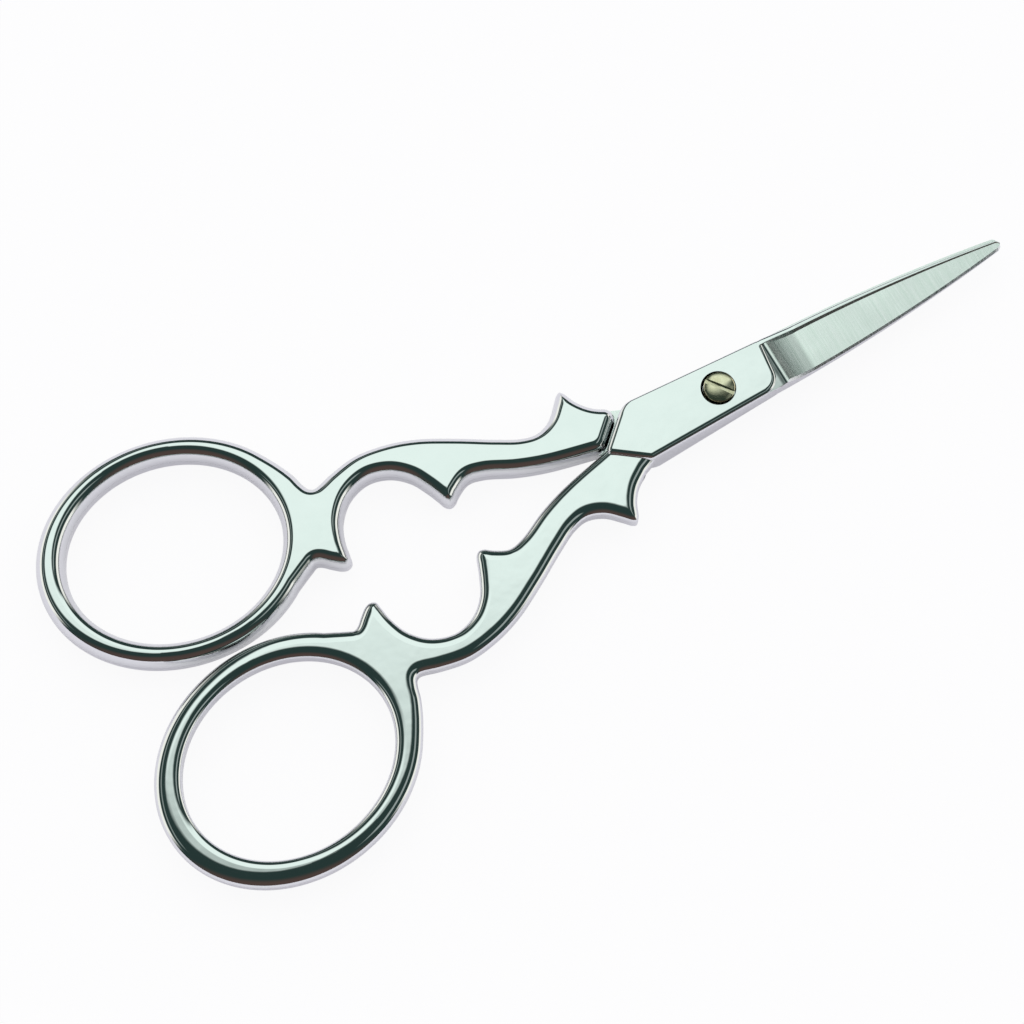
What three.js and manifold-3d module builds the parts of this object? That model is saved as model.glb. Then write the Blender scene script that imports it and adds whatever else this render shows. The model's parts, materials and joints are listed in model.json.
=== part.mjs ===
// Embroidery scissors: two forged halves that turn on one slotted screw, lying closed.
// Millimetres, +Z up, blades towards +X, origin under the middle of the closed pair.
// Each half is drawn flat about its own pivot with its front face up and its handle at -Y,
// and the second half is the same forging turned over.

import * as THREE from "three";
import { mergeVertices } from "three/addons/utils/BufferGeometryUtils.js";
import Module from "manifold-3d";

const wasm = await Module();
wasm.setup();

// Lengths along a half, from the pivot
const bladeLength = 27.1; // shoulder ridge to tip
const shoulderReach = 6.3; // pivot to shoulder ridge
const heelReach = 13.5; // pivot to the rear point of the ricasso
const heelCorner = 9.5; // pivot to the rear corner on the back edge
const stepCorner = 9.7; // pivot to the end of the step on the cutting side
const shankStart = 14.2; // pivot to where the shank comes clear of the ricasso
const shankLength = 27.6; // from there to the finger ring

// Blade and ricasso
const heelHalfWidth = 3.25;
const shoulderBackWidth = 2.35; // from the middle to the back edge at the ridge
const shoulderFrontWidth = 2.85; // and to the cutting edge
const edgeRelief = 0.15; // the ricasso's cutting side stands this much short of its back edge
const tipBack = 0.3; // the back edge ends this far off the centre line
const tipFront = 0.75; // the cutting edge ends this far off it on the other side
const backSwell = 0.6; // the back edge swells past straight
const bellySwell = 0.55; // the cutting edge swells past straight
const tipRounding = 0.45;
const ricassoThickness = 2.1; // one half, from its inner face
const ricassoRounding = 0.6;
const shoulderRounding = 2; // plan radius of the ricasso's corner beside the ridge
const shoulderSkew = 0.7; // that corner lies this far behind the ridge
const heelRounding = 1.6; // plan radius of the rear corner on the back edge
const heelDrop = 0.45; // the rear point lies this far to the handle side
const ridgeThickness = 2.05;
const ridgeRise = 0.22; // the ridge stands up this much from the ledge behind it
const ridgeRun = 0.5; // over this length
const bladeRootThickness = 1.5;
const bladeTipThickness = 0.5;
const scoopLength = 3.6; // hollow between the ridge and the flat of the blade
const scoopTaper = 2; // how much steeper the hollow starts than it ends
const spineLand = 0.6; // strip left standing along the back edge at the ridge
const tipLand = 0.16; // and at the tip
const tipLandThickness = 0.62;
const landWall = 0.15; // run of the slope from the strip down to the hollow
const cuttingBevel = 0.3;
const bevelDepth = 0.4;
const cuttingLand = 0.12;
const grindingAllowance = 0.4; // forged past the inner face and ground off

// Handle: shank with three spurs, and finger ring
const handleThickness = 3.5;
const edgeRounding = 1.2; // how far in the rounding of the edges reaches
const frontEdgeRise = 0.8; // how far down it reaches on the front
const backEdgeRise = 2; // and on the back, where the sides draw in more slowly
const endEdgeRise = 1.3; // and on the end of the shank beside the other half's heel
const rootShare = 0.3; // the shank's root runs on under the ricasso, this share of the way to the pivot
const ringHoleLength = 22;
const ringHoleWidth = 18.7;
const ringEndBand = 2.9; // metal at the far end of the ring
const ringSideBand = 2.4; // metal at the sides of the ring
const ringTilt = THREE.MathUtils.degToRad(11);
const ringStartAngle = THREE.MathUtils.degToRad(40); // where the inner edge runs into the ring
const ringEndAngle = THREE.MathUtils.degToRad(322); // where the outer edge leaves it

// Pivot screw
const screwDiameter = 2;
const headDiameter = 3.4;
const headRim = 0.5;
const headDome = 0.55;
const headRecess = 0.9; // depth of the seat below the front face
const slotWidth = 0.45;
const slotDepth = 0.55;
const slotAngle = THREE.MathUtils.degToRad(-53);
const tailRecess = 0.1; // the tail stops this far inside the back face
const tailChamfer = 0.2;

// Clearances
const bladeClearance = 0.1; // between the two inner faces
const ringClearance = 0.65; // between the closed rings
const heelClearance = 0.6; // between a ricasso and the other half's shank
const turningClearance = 0.1; // round the screw in the front half
const threadClearance = 0.1; // round the screw in the back half
const headClearance = 0.2; // round the head
const seatClearance = 0.1; // under the head

// Fineness of the faceted surfaces
const roundingSteps = 3;
const lipSteps = 4;
const stepsBetweenPoints = 3;
const ringSteps = 44;
const cornerSteps = 4;
const scoopSteps = 5;
const swellSteps = 6;
const tipSteps = 4;
const screwSides = 32;
const domeSteps = 4;
const ridgeShare = 0.85; // how near the rounding may come to the middle of narrow metal
const chamferShare = 0.5; // share of the strip along the back edge that is bevelled off

// Places that follow from the sizes
const tipReach = shoulderReach + bladeLength;
const innerFace = bladeClearance / 2;
const frontFace = innerFace + ricassoThickness;
const handleFace = handleThickness / 2;
const ringLength = ringHoleLength / 2 + ringEndBand;
const ringWidth = ringHoleWidth / 2 + ringSideBand;
const ringReach = shankStart + shankLength + ringLength;
const ringHalfSpan = Math.hypot(ringLength * Math.sin(ringTilt), ringWidth * Math.cos(ringTilt));
const ringHalfRun = Math.hypot(ringLength * Math.cos(ringTilt), ringWidth * Math.sin(ringTilt));
const ringOffset = ringClearance / 2 + ringHalfSpan;
const ringCentre = new THREE.Vector2(-ringReach, -ringOffset);
const ringEnd = ringReach + ringHalfRun;
const headSeat = frontFace - headRecess;

// A closed triangle mesh as a solid that can be joined and cut
function solidOf(geometry) {
  geometry.deleteAttribute("normal");
  geometry.deleteAttribute("uv");
  const merged = mergeVertices(geometry);
  const index = merged.index.array;
  const corners = [];
  for (let i = 0; i < index.length; i += 3) {
    const [a, b, c] = [index[i], index[i + 1], index[i + 2]];
    if (a !== b && b !== c && c !== a) corners.push(a, b, c);
  }
  const triVerts = new Uint32Array(corners);
  const vertProperties = merged.attributes.position.array;
  return new wasm.Manifold(new wasm.Mesh({ numProp: 3, vertProperties, triVerts }));
}

// A finished solid as a named mesh
function meshOf(solid, name, material) {
  const { vertProperties, triVerts } = solid.getMesh();
  const geometry = new THREE.BufferGeometry();
  geometry.setAttribute("position", new THREE.BufferAttribute(vertProperties, 3));
  geometry.setIndex(new THREE.BufferAttribute(triVerts, 1));
  geometry.computeVertexNormals();
  const mesh = new THREE.Mesh(geometry, material);
  mesh.name = name;
  return mesh;
}

// An upright round bar or hole on the pivot axis
function uprightCylinder(diameter, bottom, top) {
  const geometry = new THREE.CylinderGeometry(diameter / 2, diameter / 2, top - bottom, screwSides);
  geometry.rotateX(Math.PI / 2);
  geometry.translate(0, 0, (top + bottom) / 2);
  return solidOf(geometry);
}

// A smooth edge through hand-placed points
function smoothEdge(points) {
  const places = points.map((point) => new THREE.Vector3(point.x, point.y, 0));
  const curve = new THREE.CatmullRomCurve3(places, false, "centripetal");
  return curve.getPoints((places.length - 1) * stepsBetweenPoints).map((p) => new THREE.Vector2(p.x, p.y));
}

// One corner of an outline, rounded off between the places before and after it
function roundedCorner(before, place, after, radius) {
  const back = before.clone().sub(place).normalize();
  const ahead = after.clone().sub(place).normalize();
  const halfAngle = Math.acos(back.dot(ahead)) / 2;
  const run = radius / Math.tan(halfAngle);
  const start = place.clone().addScaledVector(back, run);
  const end = place.clone().addScaledVector(ahead, run);
  return new THREE.QuadraticBezierCurve(start, place, end).getPoints(cornerSteps);
}

// A polygon whose corners are rounded, each by its own radius
function roundedPolygon(corners) {
  return corners.flatMap(({ place, radius }, i) => {
    const after = corners[(i + 1) % corners.length];
    return roundedCorner(corners.at(i - 1).place, place, after.place, radius);
  });
}

// The direction into the metal at each point of an outline that keeps the metal on its left
function inwardNormals(points) {
  return points.map((_, i) => {
    const along = points[(i + 1) % points.length].clone().sub(points.at(i - 1));
    return new THREE.Vector2(-along.y, along.x).normalize();
  });
}

// The radius of the largest disc in the metal that touches the outline at one point
function discRadius(point, normal, others) {
  let radius = Infinity;
  for (const other of others) {
    const across = other.clone().sub(point);
    const facing = across.dot(normal);
    if (facing > 0) radius = Math.min(radius, across.lengthSq() / (2 * facing));
  }
  return radius;
}

// Triangles of one closed loop of points joined to the same loop one row higher
function band(first, length, low, high) {
  const triangles = [];
  for (let i = 0; i < length; i += 1) {
    const here = first + i;
    const next = first + ((i + 1) % length);
    triangles.push(low + here, low + next, high + next);
    triangles.push(low + here, high + next, high + here);
  }
  return triangles;
}

// A plate between two heights with its edges rounded over, or left square where a rise is 0. As a
// rounding closes in, each outline point slides into the metal and stops short of its middle, so the
// ring and the spurs come out as ridges.
function crownedPlate(outlines, rounding, bottom, bottomRise, top, topRise) {
  const points = outlines.flat();
  const normals = outlines.flatMap(inwardNormals);
  const reaches = points.map((point, i) => ridgeShare * discRadius(point, normals[i], points));
  const rowAt = (face, rise, side, angle) =>
    points.map((point, i) => {
      const inset = Math.min(rounding * (1 - Math.cos(angle)), reaches[i]);
      const height = rise * Math.sqrt(1 - (1 - inset / rounding) ** 2);
      const moved = point.clone().addScaledVector(normals[i], inset);
      return new THREE.Vector3(moved.x, moved.y, face + side * (height - rise));
    });
  const rows = [];
  for (let step = bottomRise > 0 ? roundingSteps : 0; step >= 0; step -= 1) {
    rows.push(rowAt(bottom, bottomRise, -1, (step / roundingSteps) * (Math.PI / 2)));
  }
  for (let step = 0; step <= roundingSteps; step += 1) {
    rows.push(rowAt(top, topRise, 1, (step / roundingSteps) * (Math.PI / 2)));
  }

  const triangles = [];
  const starts = outlines.map((_, i) => outlines.slice(0, i).flat().length);
  for (let row = 0; row + 1 < rows.length; row += 1) {
    outlines.forEach((outline, i) => {
      triangles.push(...band(starts[i], outline.length, row * points.length, (row + 1) * points.length));
    });
  }
  const loopsOf = (row) =>
    outlines.map((outline, i) => row.slice(starts[i], starts[i] + outline.length));
  const [lowerLoop, ...lowerHoles] = loopsOf(rows[0]);
  for (const [a, b, c] of THREE.ShapeUtils.triangulateShape(lowerLoop, lowerHoles)) {
    triangles.push(c, b, a);
  }
  const crown = (rows.length - 1) * points.length;
  const [upperLoop, ...upperHoles] = loopsOf(rows.at(-1));
  for (const [a, b, c] of THREE.ShapeUtils.triangulateShape(upperLoop, upperHoles)) {
    triangles.push(crown + a, crown + b, crown + c);
  }

  const geometry = new THREE.BufferGeometry().setFromPoints(rows.flat());
  geometry.setIndex(triangles);
  return solidOf(geometry);
}

// A place on the shank: share of the way from its start to the ring, and share of the ring's offset
function shankPlace([along, across]) {
  return new THREE.Vector2(-shankStart - along * shankLength, -across * ringOffset);
}

// Outer edge of the shank, from the ring's notch past the outer spur to the ricasso
const outerEdge = [
  [1.024, 1.285],
  [0.996, 1.118],
  [0.978, 0.993],
  [0.966, 0.926],
  [0.953, 0.907],
  [0.935, 0.912],
  [0.88, 0.948],
  [0.768, 0.99],
  [0.645, 0.953],
  [0.536, 0.87],
  [0.409, 0.716],
  [0.283, 0.545],
  [0.203, 0.45],
  [0.145, 0.424],
  [0.087, 0.47],
  [0.036, 0.578],
  [0.011, 0.637],
  [-0.005, 0.65],
  [-0.018, 0.62],
  [-0.04, 0.508],
  [-0.075, 0.405],
  [-0.13, 0.315],
];

// Inner edge, from the ricasso past the middle spur and the thumb scallop to the ring spur and notch
const innerEdge = [
  [-0.058, -0.008],
  [0.174, 0.116],
  [0.283, 0.204],
  [0.391, 0.32],
  [0.449, 0.345],
  [0.5, 0.292],
  [0.529, 0.245],
  [0.549, 0.238],
  [0.565, 0.266],
  [0.578, 0.341],
  [0.598, 0.45],
  [0.63, 0.583],
  [0.688, 0.7],
  [0.768, 0.75],
  [0.855, 0.69],
  [0.917, 0.55],
  [0.946, 0.391],
  [0.957, 0.258],
  [0.962, 0.208],
  [0.982, 0.187],
  [1.004, 0.2],
  [1.036, 0.258],
  [1.062, 0.312],
  [1.078, 0.328],
  [1.101, 0.308],
];

// Part of an ellipse about the ring's centre, leaning with the ring
function ringArc(length, width, start, end, clockwise) {
  const { x, y } = ringCentre;
  const ellipse = new THREE.EllipseCurve(x, y, length, width, start, end, clockwise, ringTilt);
  return ellipse.getPoints(ringSteps);
}

// Corners of the ricasso's outline
const heelPoint = new THREE.Vector2(-heelReach, -heelDrop);
const heelBack = new THREE.Vector2(-heelCorner, heelHalfWidth);
const heelStep = new THREE.Vector2(-stepCorner, edgeRelief - heelHalfWidth);
const shoulderBack = new THREE.Vector2(shoulderReach, shoulderBackWidth);
const shoulderFront = new THREE.Vector2(shoulderReach - shoulderSkew, edgeRelief - shoulderFrontWidth);

// Outline of the handle, which runs on under the ricasso
function handleOutline() {
  const ring = ringArc(ringLength, ringWidth, ringStartAngle, ringEndAngle, false);
  const outer = smoothEdge([ring.at(-1), ...outerEdge.map(shankPlace)]);
  const inner = smoothEdge([...innerEdge.map(shankPlace), ring[0]]);
  const underRicasso = [heelStep, heelPoint].map((place) => place.clone().multiplyScalar(1 - rootShare));
  return [...outer.slice(1), ...underRicasso, ...inner.slice(0, -1), ...ring];
}

// The finger hole, drawn the other way round so that the metal stays on its left
function fingerHole() {
  return ringArc(ringHoleLength / 2, ringHoleWidth / 2, 2 * Math.PI, 0, true).slice(1);
}

// Shank, spurs and ring
function handleSolid() {
  const outlines = [handleOutline(), fingerHole()];
  return crownedPlate(outlines, edgeRounding, -handleFace, backEdgeRise, handleFace, frontEdgeRise);
}

// What is ground off behind the inner face, from the tip back to an end facet on the shank with a
// rounded lip: the room that the other half's blade and ricasso turn in
function innerRoom() {
  const otherPoint = new THREE.Vector2(heelPoint.x, -heelPoint.y);
  const otherBack = new THREE.Vector2(heelBack.x, -heelBack.y);
  const along = otherPoint.clone().sub(otherBack);
  const depth = innerFace + handleFace;
  const lip = depth - endEdgeRise;
  const far = shankStart + tipReach;
  const profile = new THREE.Shape();
  profile.moveTo(0, 0);
  profile.lineTo(0, -lip);
  profile.absellipse(-edgeRounding, -lip, edgeRounding, endEdgeRise, 0, -Math.PI / 2, true);
  profile.lineTo(-edgeRounding, -2 * depth);
  profile.lineTo(far, -2 * depth);
  profile.lineTo(far, 0);
  profile.closePath();
  const settings = { depth: 2 * far, bevelEnabled: false, curveSegments: lipSteps };
  const room = new THREE.ExtrudeGeometry(profile, settings);
  room.translate(-heelClearance, 0, -far);
  room.rotateX(Math.PI / 2);
  room.rotateZ(along.angle() - Math.PI / 2);
  room.translate(otherBack.x, otherBack.y, innerFace);
  return solidOf(room);
}

// The thick flat that carries the screw, with its oblique heel and rounded edges
function ricassoSolid() {
  const outline = roundedPolygon([
    { place: heelBack, radius: heelRounding },
    { place: heelPoint, radius: ricassoRounding },
    { place: heelStep, radius: ricassoRounding },
    { place: shoulderFront, radius: shoulderRounding },
    { place: shoulderBack, radius: ricassoRounding },
  ]);
  const bottom = innerFace - grindingAllowance;
  return crownedPlate([outline], ricassoRounding, bottom, 0, frontFace, ricassoRounding);
}

// The back and cutting edges of the blade, each swelling past straight and rounded off at the tip
function bladeEdges(x) {
  const share = Math.max(0, x - shoulderReach) / bladeLength;
  const swell = 4 * share * (1 - share);
  const back = THREE.MathUtils.lerp(shoulderBackWidth, tipBack, share) + backSwell * swell;
  const front = THREE.MathUtils.lerp(shoulderFrontWidth, tipFront, share) + bellySwell * swell;
  const left = Math.min(1, (tipReach - x) / tipRounding);
  const round = Math.sqrt(1 - (1 - left) ** 2);
  const middle = (tipBack - tipFront) / 2;
  return { back: middle + (back - middle) * round, cutting: middle - (front + middle) * round };
}

// The blade rises to the ridge, is hollowed after it, and then thins towards the tip
function bladeThickness(x) {
  const past = x - shoulderReach;
  if (past <= 0) return ridgeThickness - ridgeRise * Math.min(1, -past / ridgeRun);
  const flat = THREE.MathUtils.lerp(bladeRootThickness, bladeTipThickness, past / bladeLength);
  const left = Math.max(0, 1 - past / scoopLength);
  const hollow = (left * (1 + scoopTaper * left)) / (1 + scoopTaper);
  return flat + (ridgeThickness - bladeRootThickness) * hollow;
}

// One cross-section of the blade, from the cutting edge round to the back edge
function bladeSection(x) {
  const { back, cutting } = bladeEdges(x);
  const most = (back - cutting) / 4;
  const top = innerFace + bladeThickness(x);
  const share = Math.max(0, x - shoulderReach) / bladeLength;
  const landTop = innerFace + THREE.MathUtils.lerp(ridgeThickness, tipLandThickness, share);
  const land = Math.min(THREE.MathUtils.lerp(spineLand, tipLand, share), most);
  const chamfer = chamferShare * land;
  const wall = Math.min(landWall, most);
  const bevel = Math.min(cuttingBevel, most);
  return [
    [x, cutting, innerFace - grindingAllowance],
    [x, back, innerFace - grindingAllowance],
    [x, back, landTop - chamfer],
    [x, back - chamfer, landTop],
    [x, back - land, landTop],
    [x, back - land - wall, top],
    [x, cutting + bevel, top],
    [x, cutting, Math.max(innerFace + cuttingLand, top - bevelDepth)],
  ];
}

// The blade, lofted through its cross-sections from the screw, inside the ricasso, to the tip
function bladeSolid() {
  const stations = [0, shoulderReach - ridgeRun];
  for (let i = 0; i <= scoopSteps; i += 1) {
    stations.push(shoulderReach + (scoopLength * i) / scoopSteps);
  }
  const swellStart = shoulderReach + scoopLength;
  const swellEnd = tipReach - tipRounding;
  for (let i = 1; i < swellSteps; i += 1) {
    stations.push(THREE.MathUtils.lerp(swellStart, swellEnd, i / swellSteps));
  }
  for (let i = 0; i < tipSteps; i += 1) {
    stations.push(tipReach - tipRounding * (1 - i / tipSteps) ** 2);
  }
  const sections = stations.map(bladeSection);
  const sides = sections[0].length;
  const last = (sections.length - 1) * sides;
  const triangles = [];
  for (let s = 0; s + 1 < sections.length; s += 1) {
    for (let side = 0; side < sides; side += 1) {
      const a = s * sides + side;
      const b = s * sides + ((side + 1) % sides);
      triangles.push(a, b, b + sides, a, b + sides, a + sides);
    }
  }
  for (let side = 1; side + 1 < sides; side += 1) {
    triangles.push(0, side + 1, side);
    triangles.push(last, last + side, last + side + 1);
  }
  const geometry = new THREE.BufferGeometry();
  geometry.setAttribute("position", new THREE.Float32BufferAttribute(sections.flat(2), 3));
  geometry.setIndex(triangles);
  return solidOf(geometry);
}

// One forging: ring, shank, ricasso and blade in one piece, ground flat inside and not yet drilled
function forging() {
  return handleSolid().add(ricassoSolid()).add(bladeSolid()).subtract(innerRoom());
}

// The half that shows: drilled to turn on the screw and recessed for its head
function topHalf() {
  const bore = uprightCylinder(screwDiameter + 2 * turningClearance, -ricassoThickness, 2 * frontFace);
  const seat = uprightCylinder(headDiameter + 2 * headClearance, headSeat, 2 * frontFace);
  return forging().subtract(bore).subtract(seat);
}

// The half underneath, which holds the screw's thread
function bottomHalf() {
  const bore = uprightCylinder(screwDiameter + 2 * threadClearance, -ricassoThickness, 2 * frontFace);
  return forging().subtract(bore);
}

// The screw: domed slotted head, plain shank and chamfered tail, turned about the pivot axis
function pivotScrew() {
  const radius = screwDiameter / 2;
  const headRadius = headDiameter / 2;
  const underHead = headSeat + seatClearance;
  const tail = tailRecess - frontFace;
  const profile = [
    new THREE.Vector2(0, tail),
    new THREE.Vector2(radius - tailChamfer, tail),
    new THREE.Vector2(radius, tail + tailChamfer),
    new THREE.Vector2(radius, underHead),
    new THREE.Vector2(headRadius, underHead),
  ];
  for (let i = 0; i <= domeSteps; i += 1) {
    const angle = (i / domeSteps) * (Math.PI / 2);
    const out = i === domeSteps ? 0 : headRadius * Math.cos(angle);
    profile.push(new THREE.Vector2(out, underHead + headRim + headDome * Math.sin(angle)));
  }
  const turned = new THREE.LatheGeometry(profile, screwSides);
  turned.rotateX(Math.PI / 2);
  const slot = new THREE.BoxGeometry(2 * headDiameter, slotWidth, 2 * slotDepth);
  slot.rotateZ(slotAngle);
  slot.translate(0, 0, underHead + headRim + headDome);
  return solidOf(turned).subtract(solidOf(slot));
}

const chrome = new THREE.MeshStandardMaterial({ color: 0xcfe0da, roughness: 0.12, metalness: 1 });
const nickel = new THREE.MeshStandardMaterial({ color: 0xb9b394, roughness: 0.25, metalness: 1 });

const scissors = new THREE.Group();
const backHalf = meshOf(bottomHalf(), "bottom_half", chrome);
backHalf.rotation.x = Math.PI;
scissors.add(backHalf);
scissors.add(meshOf(topHalf(), "top_half", chrome));
scissors.add(meshOf(pivotScrew(), "pivot_screw", nickel));

// The closed pair is centred over the origin and lies on Z = 0
scissors.position.set((ringEnd - tipReach) / 2, 0, Math.max(frontFace, handleFace));

const part = new THREE.Group();
part.add(scissors);

export default part;
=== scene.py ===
"""Embroidery scissors, closed: two chrome-plated forgings that turn on one slotted screw."""
import json
import math

import bmesh
import bpy
import numpy as np
from mathutils import Matrix, Vector
from mathutils.geometry import tessellate_polygon


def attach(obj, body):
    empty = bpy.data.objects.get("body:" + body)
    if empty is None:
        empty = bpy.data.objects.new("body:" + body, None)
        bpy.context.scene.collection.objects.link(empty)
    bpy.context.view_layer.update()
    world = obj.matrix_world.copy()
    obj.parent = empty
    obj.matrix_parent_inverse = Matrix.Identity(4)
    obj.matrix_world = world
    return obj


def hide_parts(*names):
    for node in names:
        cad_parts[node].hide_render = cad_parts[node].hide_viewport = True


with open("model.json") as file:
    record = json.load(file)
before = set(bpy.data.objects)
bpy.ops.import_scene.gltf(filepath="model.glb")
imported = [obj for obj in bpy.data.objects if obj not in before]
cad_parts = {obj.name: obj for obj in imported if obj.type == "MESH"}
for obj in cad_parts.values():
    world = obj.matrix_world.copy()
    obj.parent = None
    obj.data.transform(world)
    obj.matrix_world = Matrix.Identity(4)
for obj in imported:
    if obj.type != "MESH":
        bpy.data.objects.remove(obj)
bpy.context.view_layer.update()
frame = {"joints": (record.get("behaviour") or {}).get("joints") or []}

# The two forged halves
# Each half is one steel forging: finger ring, scrolled shank with three spurs, ricasso and blade.
# It is rounded over by polishing and chrome plated, and its blade and inner face are ground satin.
# The half underneath is the same forging turned over, without the screw's seat. Sizes are millimetres.
MM = 0.001
pivot = Vector(frame["joints"][0]["pos_m"])

# Reaches from the pivot
shoulder_reach = 6.3  # to the ridge at the root of the blade
blade_length = 27.07
heel_reach = 13.5  # to the point of the ricasso's oblique heel
heel_corner = 9.5  # to the heel's corner on the back edge
step_corner = 9.7  # to the corner where the ricasso steps down to the shank
shank_start = 14.2
shank_length = 27.6

# Heights over the middle of the closed pair
inner_face = 0.01  # the two halves all but touch
handle_face = 1.75
front_face = 2.15
seam = 0.003  # parts of one forging lie this far apart where they would share a face

# The ricasso, the thick flat that carries the screw
heel_half_width = 3.25
shoulder_back_width = 2.42
shoulder_front_width = 2.92
shoulder_skew = 0.7  # the shoulder lies this much nearer to the pivot at the front edge
heel_drop = 0.45  # from the middle line to the heel's point
heel_rounding = 2.4  # plan radii
shoulder_rounding = 2.0
ricasso_corner = 0.65
ricasso_rounding = 0.6  # in and up, along its edges
back_softness = 0.4  # share of that rounding along the back edge

# The shank
edge_rounding = 1.2  # how far in its edges are rounded
front_edge_rise = 0.8  # and how far up
root_share = 0.3  # it runs on under the ricasso for this share of the heel's reach
heel_clearance = 0.1  # from its end to the heel of the other half
end_outer_rounding = 1.25
end_inner_rounding = 2.0
end_corner_reach = 1.9  # the corners of its end are drawn within this distance of it

# The finger ring
ring_hole_length = 22.0
ring_hole_width = 18.7
ring_end_band = 2.88
ring_side_band = 2.38
ring_clearance = 0.69  # between the two closed rings
ring_tilt = math.radians(11)
ring_start = 40  # degrees round the ring where the inner edge runs into it
ring_stop = 322  # and where the outer edge leaves it
ring_lean = 0.25  # the crest of the ring lies this share nearer to the finger hole
lean_end = 0.75  # share of the ring's half length past its centre where the lean has faded out

# Fineness of the outline and of its rounded edges
outline_step = 0.22
least_steps = 6  # in each stretch of a spline
corner_points = 15  # on each rounded corner
end_points = 20  # along the end of the shank
rounding_rows = 12
ridge_share = 0.97  # where the metal is narrow, a rounding stops at this share of the way to its middle

ring_half_length = ring_hole_length / 2 + ring_end_band
ring_half_width = ring_hole_width / 2 + ring_side_band
ring_half_span = math.hypot(
    ring_half_length * math.sin(ring_tilt), ring_half_width * math.cos(ring_tilt))
ring_offset = ring_clearance / 2 + ring_half_span
ring_centre = np.array([-shank_start - shank_length - ring_half_length, -ring_offset])

# Share of the shank's length, and share of the ring's offset: ring notch, outer spur, ricasso
outer_edge = [
    (1.04, 1.319), (1.013, 1.202), (0.991, 1.081), (0.98, 0.985), (0.968, 0.926), (0.953, 0.907),
    (0.935, 0.912), (0.88, 0.948), (0.768, 0.99), (0.645, 0.953), (0.536, 0.87), (0.409, 0.716),
    (0.283, 0.545), (0.203, 0.45), (0.145, 0.424), (0.087, 0.47), (0.036, 0.578), (0.011, 0.637),
    (-0.005, 0.65), (-0.018, 0.62), (-0.04, 0.508), (-0.075, 0.405), (-0.13, 0.315),
]
# The same for ricasso, middle spur, thumb scallop, ring spur and ring notch
inner_edge = [
    (-0.058, -0.008), (0.174, 0.116), (0.283, 0.204), (0.391, 0.32), (0.449, 0.345), (0.5, 0.292),
    (0.529, 0.245), (0.549, 0.238), (0.565, 0.266), (0.578, 0.341), (0.598, 0.45), (0.63, 0.583),
    (0.688, 0.7), (0.768, 0.75), (0.855, 0.69), (0.917, 0.55), (0.946, 0.391), (0.957, 0.258),
    (0.962, 0.208), (0.982, 0.187), (1.004, 0.2), (1.036, 0.258), (1.062, 0.312), (1.078, 0.328),
    (1.101, 0.308),
]


def shank_places(shares):
    """Places on the shank, from their shares of its length and of the ring's offset."""
    along, across = np.array(shares).T
    return np.column_stack([-shank_start - along * shank_length, -across * ring_offset])


def smooth_edge(points):
    """A centripetal spline through given points."""
    points = np.vstack([2 * points[0] - points[1], points, 2 * points[-1] - points[-2]])
    stretches = []
    for a, b, c, d in zip(points, points[1:], points[2:], points[3:]):
        before, here, after = (np.sqrt(np.linalg.norm(q - p)) for p, q in ((a, b), (b, c), (c, d)))
        leave = (b - a) * here / before - (c - a) * here / (before + here) + (c - b)
        arrive = (c - b) - (d - b) * here / (here + after) + (d - c) * here / after
        count = max(least_steps, math.ceil(np.linalg.norm(c - b) / outline_step))
        t = np.linspace(0, 1, count, endpoint=False)[:, None]
        ends = b * (2 * t**3 - 3 * t**2 + 1) + c * (3 * t**2 - 2 * t**3)
        stretches.append(ends + leave * (t**3 - 2 * t**2 + t) + arrive * (t**3 - t**2))
    return np.vstack([*stretches, points[-2:-1]])


def ring_arc(half_length, half_width, start, stop):
    """Part of an ellipse about the ring's centre, tilted with the ring, from angle to angle in degrees."""
    count = math.ceil(abs(math.radians(stop - start)) * half_length / outline_step)
    angle = np.radians(np.linspace(start, stop, count))
    x, y = half_length * np.cos(angle), half_width * np.sin(angle)
    cosine, sine = math.cos(ring_tilt), math.sin(ring_tilt)
    return ring_centre + np.column_stack([x, y]) @ np.array([[cosine, sine], [-sine, cosine]])


def rounded_corner(before, place, after, radius):
    """One corner of an outline, rounded off by an arc between the places before and after it."""
    back, ahead = before - place, after - place
    back, ahead = back / np.linalg.norm(back), ahead / np.linalg.norm(ahead)
    half = math.acos(back @ ahead) / 2
    run = radius / math.tan(half)
    centre = place + (back + ahead) / np.linalg.norm(back + ahead) * radius / math.sin(half)
    sweep = math.pi - 2 * half
    t = np.linspace(0, sweep, corner_points)[:, None]
    start, end = place + run * back - centre, place + run * ahead - centre
    return centre + (start * np.sin(sweep - t) + end * np.sin(t)) / math.sin(sweep)


def rounded_polygon(corners):
    """A closed outline whose corners, each a place and a radius, are rounded off."""
    places = [np.array(place) for place, _ in corners]
    after = places[1:] + places[:1]
    radii = [radius for _, radius in corners]
    return np.vstack([
        rounded_corner(places[i - 1], places[i], after[i], radii[i]) for i in range(len(places))
    ])


heel_point = (-heel_reach, -heel_drop)
heel_back = (-heel_corner, heel_half_width)
heel_step = (-step_corner, -heel_half_width)
shoulder_back = (shoulder_reach, shoulder_back_width)
shoulder_front = (shoulder_reach - shoulder_skew, -shoulder_front_width)


def shank_end(edge):
    """Where an edge, followed towards the blade, meets the end of the shank beside the other half's heel.
    Gives the stretch of the edge before the corner there, and the place of the corner."""
    other_point = np.array([-heel_reach, heel_drop])
    other_back = np.array([-heel_corner, -heel_half_width])
    along = (other_point - other_back) / np.linalg.norm(other_point - other_back)
    short = (other_back - edge) @ np.array([along[1], -along[0]]) - heel_clearance
    last = np.argmax(short < 0)
    share = short[last - 1] / (short[last - 1] - short[last])
    corner = edge[last - 1] * (1 - share) + edge[last] * share
    return edge[:last][short[:last] > end_corner_reach], corner


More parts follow.
